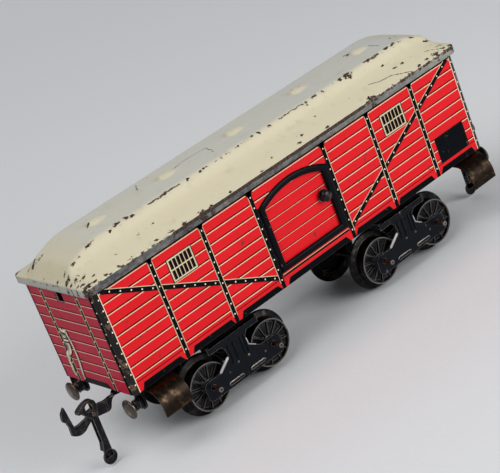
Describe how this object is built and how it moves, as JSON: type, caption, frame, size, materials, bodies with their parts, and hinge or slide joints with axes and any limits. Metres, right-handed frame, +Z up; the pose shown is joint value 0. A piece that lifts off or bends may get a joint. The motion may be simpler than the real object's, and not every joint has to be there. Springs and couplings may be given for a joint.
{
  "type": "model box car",
  "caption": "Gauge 0 tinplate model box car: printed red body, pressed cream roof, sliding doors, two bogies with spoked wheels, sprung buffers, steps and claw couplings.",
  "frame": {"origin": "on the rail plane, below the middle of the body", "axes": "+X along the car, +Y across it away from the pictured side, +Z up"},
  "size_m": [0.262, 0.072, 0.0991],
  "materials": {
    "litho_red": "gloss",
    "cream_roof": "satin, chipped",
    "black_sheet": "satin, worn edges",
    "bare_tinplate": "satin",
    "browned_steel": "burnished",
    "worn_nickel": "worn",
    "rusty_steel": "rusted",
    "dark_zinc": "blackened, worn rims"
  },
  "bodies": {
    "car": {"body_shell": "litho_red", "floor_pan": "black_sheet", "roof": "cream_roof", "door_guide_top_a": "bare_tinplate", "door_guide_top_b": "bare_tinplate", "door_guide_low_a": "bare_tinplate", "door_guide_low_b": "bare_tinplate", "corner_step_1": "browned_steel", "corner_step_2": "browned_steel", "corner_step_3": "browned_steel", "corner_step_4": "browned_steel", "buffer_sleeve_1a": "browned_steel", "buffer_sleeve_1b": "browned_steel", "buffer_sleeve_2a": "browned_steel", "buffer_sleeve_2b": "browned_steel", "coupling_post_1": "browned_steel", "coupling_post_2": "browned_steel", "bogie_stud_1": "browned_steel", "bogie_stud_2": "browned_steel"},
    "slider_a": {"door_a": "litho_red", "door_knob_a": "browned_steel"},
    "slider_b": {"door_b": "litho_red", "door_knob_b": "browned_steel"},
    "bogie_1": {"bogie_frame_1": "black_sheet"},
    "wheelset_1a": {"axle_1a": "rusty_steel", "wheel_1a_near": "dark_zinc", "wheel_1a_far": "dark_zinc"},
    "wheelset_1b": {"axle_1b": "rusty_steel", "wheel_1b_near": "dark_zinc", "wheel_1b_far": "dark_zinc"},
    "coupling_1": {"drawbar_hook_1": "browned_steel", "lever_pin_1": "worn_nickel"},
    "lever_1": {"claw_lever_1": "browned_steel"},
    "buffer_1a": {"buffer_plunger_1a": "worn_nickel"},
    "buffer_1b": {"buffer_plunger_1b": "worn_nickel"},
    "bogie_2": {"bogie_frame_2": "black_sheet"},
    "wheelset_2a": {"axle_2a": "rusty_steel", "wheel_2a_near": "dark_zinc", "wheel_2a_far": "dark_zinc"},
    "wheelset_2b": {"axle_2b": "rusty_steel", "wheel_2b_near": "dark_zinc", "wheel_2b_far": "dark_zinc"},
    "coupling_2": {"drawbar_hook_2": "browned_steel", "lever_pin_2": "worn_nickel"},
    "lever_2": {"claw_lever_2": "browned_steel"},
    "buffer_2a": {"buffer_plunger_2a": "worn_nickel"},
    "buffer_2b": {"buffer_plunger_2b": "worn_nickel"}
  },
  "joints": [
    {"name": "door_slide_a", "type": "slide", "parent": "car", "child": "slider_a", "axis": [-1, 0, 0], "range_m": [0, 0.028]},
    {"name": "door_slide_b", "type": "slide", "parent": "car", "child": "slider_b", "axis": [1, 0, 0], "range_m": [0, 0.028]},
    {"name": "bogie_swivel_1", "type": "hinge", "parent": "car", "child": "bogie_1", "pos_m": [-0.0535, 0, 0.031], "axis": [0, 0, 1], "range_deg": [-20, 20]},
    {"name": "wheelset_spin_1a", "type": "hinge", "parent": "bogie_1", "child": "wheelset_1a", "pos_m": [-0.0714, 0, 0.01398], "axis": [0, 1, 0], "continuous": true},
    {"name": "wheelset_spin_1b", "type": "hinge", "parent": "bogie_1", "child": "wheelset_1b", "pos_m": [-0.0356, 0, 0.01398], "axis": [0, 1, 0], "continuous": true},
    {"name": "coupling_swivel_1", "type": "hinge", "parent": "car", "child": "coupling_1", "pos_m": [-0.0945, 0, 0.028], "axis": [0, 0, 1], "range_deg": [-25, 25]},
    {"name": "claw_lift_1", "type": "hinge", "parent": "coupling_1", "child": "lever_1", "pos_m": [-0.117, 0, 0.026], "axis": [0, 1, 0], "range_deg": [0, 30]},
    {"name": "buffer_press_1a", "type": "slide", "parent": "car", "child": "buffer_1a", "axis": [1, 0, 0], "range_m": [0, 0.0018], "stiffness_N_per_m": 300, "springref_m": -0.001},
    {"name": "buffer_press_1b", "type": "slide", "parent": "car", "child": "buffer_1b", "axis": [1, 0, 0], "range_m": [0, 0.0018], "stiffness_N_per_m": 300, "springref_m": -0.001},
    {"name": "bogie_swivel_2", "type": "hinge", "parent": "car", "child": "bogie_2", "pos_m": [0.0535, 0, 0.031], "axis": [0, 0, 1], "range_deg": [-20, 20]},
    {"name": "wheelset_spin_2a", "type": "hinge", "parent": "bogie_2", "child": "wheelset_2a", "pos_m": [0.0356, 0, 0.01398], "axis": [0, 1, 0], "continuous": true},
    {"name": "wheelset_spin_2b", "type": "hinge", "parent": "bogie_2", "child": "wheelset_2b", "pos_m": [0.0714, 0, 0.01398], "axis": [0, 1, 0], "continuous": true},
    {"name": "coupling_swivel_2", "type": "hinge", "parent": "car", "child": "coupling_2", "pos_m": [0.0945, 0, 0.028], "axis": [0, 0, 1], "range_deg": [-25, 25]},
    {"name": "claw_lift_2", "type": "hinge", "parent": "coupling_2", "child": "lever_2", "pos_m": [0.117, 0, 0.026], "axis": [0, -1, 0], "range_deg": [0, 30]},
    {"name": "buffer_press_2a", "type": "slide", "parent": "car", "child": "buffer_2a", "axis": [-1, 0, 0], "range_m": [0, 0.0018], "stiffness_N_per_m": 300, "springref_m": -0.001},
    {"name": "buffer_press_2b", "type": "slide", "parent": "car", "child": "buffer_2b", "axis": [-1, 0, 0], "range_m": [0, 0.0018], "stiffness_N_per_m": 300, "springref_m": -0.001}
  ]
}
